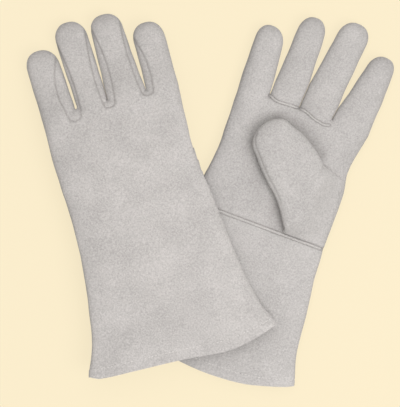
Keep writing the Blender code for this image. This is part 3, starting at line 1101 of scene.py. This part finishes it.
def build_hem_stitches(pattern, surface, looks):
    """Lock stitches round the hem, one short thread after another."""
    low, high = pattern.little_edge(HEM_LINE), pattern.index_edge(HEM_LINE)
    points, faces = [], []
    for side in (1, -1):
        x = low + STITCH_MARGIN
        while x < high - STITCH_MARGIN:
            flat = [(x, HEM_LINE), (x + STITCH_LENGTH, HEM_LINE)]
            ends = on_surface(pattern, surface, flat, side, STITCH_RISE)
            if len(ends) == 2:
                add_stitch(points, faces, ends)
            x += STITCH_PITCH
    piece = add_object(f"{pattern.glove.name}_hem_stitches", mesh_of("stitches", points, faces))
    piece.data.shade_smooth()
    finish_piece(piece, looks["thread"], "suede_welt")
    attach(piece, f"{pattern.glove.name}_cuff")


def add_stitch(points, faces, ends):
    """A thread between two points, thinner at its ends."""
    start, end = ends
    along = (end - start).normalized()
    side = along.cross(Vector((0, 0, 1))).normalized()
    rise = side.cross(along)
    base = len(points)
    rings = ((0, 0.35), (0.18, 1), (0.82, 1), (1, 0.35))
    for share, swell in rings:
        centre = start.lerp(end, share)
        for step in range(STITCH_ROUND):
            angle = 2 * math.pi / STITCH_ROUND * step
            way = side * math.cos(angle) + rise * math.sin(angle)
            points.append(centre + way * STITCH_RADIUS * swell)
    for row in range(len(rings) - 1):
        start_row, end_row = base + row * STITCH_ROUND, base + (row + 1) * STITCH_ROUND
        for column in range(STITCH_ROUND):
            beside = (column + 1) % STITCH_ROUND
            faces.append((start_row + column, start_row + beside, end_row + beside, end_row + column))
    faces.append(tuple(base + column for column in reversed(range(STITCH_ROUND))))
    faces.append(tuple(end_row + column for column in range(STITCH_ROUND)))


def link(tree, source, target):
    tree.links.new(source, target)


def colour_ramp(tree, stops):
    """A ramp through (position, colour) stops."""
    ramp = tree.nodes.new("ShaderNodeValToRGB")
    elements = ramp.color_ramp.elements
    for index in (0, -1):
        elements[index].position = stops[index][0]
        elements[index].color = (*stops[index][1], 1)
    for position, colour in stops[1:-1]:
        elements.new(position).color = (*colour, 1)
    return ramp


def suede(name, light, dark, grain=1.0):
    """Split leather: soft mottling, a fine nap, and darker seams whose dark lines are partly painted crease
    shade, with painted shade in the hollow beside the thumb. Less grain makes it more even.
    """
    material = bpy.data.materials.new(name)
    material.use_nodes = True
    tree = material.node_tree
    shader = tree.nodes["Principled BSDF"]
    shader.inputs["Roughness"].default_value = 0.95
    shader.inputs["Specular IOR Level"].default_value = 0.15
    shader.inputs["Sheen Weight"].default_value = 0.25
    shader.inputs["Sheen Roughness"].default_value = 0.6
    place = tree.nodes.new("ShaderNodeTexCoord")

    total = None
    layers = {}
    for layer in (CLOUDS, NAP, FIBRES):
        node = tree.nodes.new("ShaderNodeTexNoise")
        node.inputs["Scale"].default_value = layer.scale
        node.inputs["Detail"].default_value = layer.detail
        node.inputs["Roughness"].default_value = layer.roughness
        link(tree, place.outputs["Object"], node.inputs["Vector"])
        layers[layer] = node
        add = tree.nodes.new("ShaderNodeMath")
        add.operation = "MULTIPLY_ADD"
        link(tree, node.outputs["Fac"], add.inputs[0])
        add.inputs[1].default_value = layer.share * grain
        add.inputs[2].default_value = 0.5 * (1 - grain)
        if total:
            link(tree, total.outputs[0], add.inputs[2])
        total = add
    ramp = colour_ramp(tree, ((TONE_START, dark), (TONE_END, light)))
    link(tree, total.outputs[0], ramp.inputs["Fac"])
    # Painted shade: darkens the colour along the seams' creases and in the hollow beside the thumb, as set
    # on each mesh
    shade = tree.nodes.new("ShaderNodeAttribute")
    shade.attribute_name = "seam_shade"
    darken = tree.nodes.new("ShaderNodeMix")
    darken.data_type = "RGBA"
    link(tree, shade.outputs["Fac"], darken.inputs["Factor"])
    link(tree, ramp.outputs["Color"], darken.inputs["A"])
    seam_and_shade_colour = [value * tint for value, tint in zip(dark, SEAM_AND_SHADE_TINT)]
    darken.inputs["B"].default_value = (*seam_and_shade_colour, 1)
    link(tree, darken.outputs["Result"], shader.inputs["Base Color"])
    bump = tree.nodes.new("ShaderNodeBump")
    bump.inputs["Strength"].default_value = 0.6
    bump.inputs["Distance"].default_value = 0.5 * MM
    link(tree, layers[NAP].outputs["Fac"], bump.inputs["Height"])
    link(tree, bump.outputs["Normal"], shader.inputs["Normal"])
    return material


def make_looks():
    return {
        "back": suede("suede_back", (0.517, 0.491, 0.478), (0.325, 0.309, 0.30)),
        "palm": suede("suede_palm", (0.497, 0.474, 0.462), (0.313, 0.298, 0.29)),
        "side": suede("suede_fourchette", (0.47, 0.45, 0.434), (0.325, 0.311, 0.30)),
        "welt": suede("suede_welt", (0.53, 0.508, 0.492), (0.37, 0.353, 0.341)),
        "fleece": suede("lining_fleece", (0.78, 0.76, 0.70), (0.62, 0.60, 0.54)),
        "thread": suede("hem_thread", (0.66, 0.64, 0.615), (0.54, 0.52, 0.50), 0.5),
    }


def build_stage():
    bpy.ops.mesh.primitive_plane_add(size=FLOOR_SIZE, location=(0, 0, -FLOOR_DROP))
    floor = bpy.context.object
    floor.name = "floor"
    material = bpy.data.materials.new("floor")
    material.use_nodes = True
    shader = material.node_tree.nodes["Principled BSDF"]
    shader.inputs["Base Color"].default_value = (0.10, 0.088, 0.064, 1)
    shader.inputs["Roughness"].default_value = 1
    shader.inputs["Specular IOR Level"].default_value = 0
    shader.inputs["Emission Color"].default_value = (0.965, 0.85, 0.61, 1)
    shader.inputs["Emission Strength"].default_value = 0.87
    floor.data.materials.append(material)
    floor.visible_diffuse = False


def area_light(name, place, size, power):
    """A round light that looks at the middle of the scene."""
    data = bpy.data.lights.new(name, "AREA")
    data.shape = "DISK"
    data.size = size
    data.energy = power
    light = add_object(name, data)
    light.location = place
    light.rotation_euler = (-Vector(place)).to_track_quat("-Z", "Y").to_euler()


def build_lights():
    area_light("key", place=(0.6, -0.45, 1.25), size=0.9, power=13)
    area_light("top", place=(-0.05, 0.4, 1.6), size=1.6, power=13)
    world = bpy.data.worlds.new("soft_room")
    world.use_nodes = True
    tree = world.node_tree
    direction = tree.nodes.new("ShaderNodeTexCoord")
    height = tree.nodes.new("ShaderNodeSeparateXYZ")
    link(tree, direction.outputs["Generated"], height.inputs["Vector"])
    raised = tree.nodes.new("ShaderNodeMath")
    raised.inputs[1].default_value = HORIZON
    link(tree, height.outputs["Z"], raised.inputs[0])
    ramp = colour_ramp(tree, SKY)
    link(tree, raised.outputs[0], ramp.inputs["Fac"])
    link(tree, ramp.outputs["Color"], tree.nodes["Background"].inputs["Color"])
    tree.nodes["Background"].inputs["Strength"].default_value = SKY_STRENGTH
    bpy.context.scene.world = world


def build_camera():
    """Straight above, with the picture's top towards +Y."""
    data = bpy.data.cameras.new("camera")
    data.lens = FOCAL
    data.sensor_width = SENSOR
    camera = add_object("camera", data)
    camera.location = (*VIEW_CENTRE, VIEW_HEIGHT * FOCAL / SENSOR + VIEW_LEVEL)
    bpy.context.scene.camera = camera
    bpy.context.scene.view_settings.view_transform = "Standard"


def main():
    looks = make_looks()
    for glove in (RIGHT, LEFT):
        pattern = Pattern(glove)
        surface = build_shells(pattern, looks)
        build_thumb(pattern, looks)
        build_linings(pattern, looks)
        build_fourchettes(pattern, looks)
        build_welts(pattern, surface, looks)
        build_hem_stitches(pattern, surface, looks)
    build_stage()
    build_lights()
    build_camera()


main()
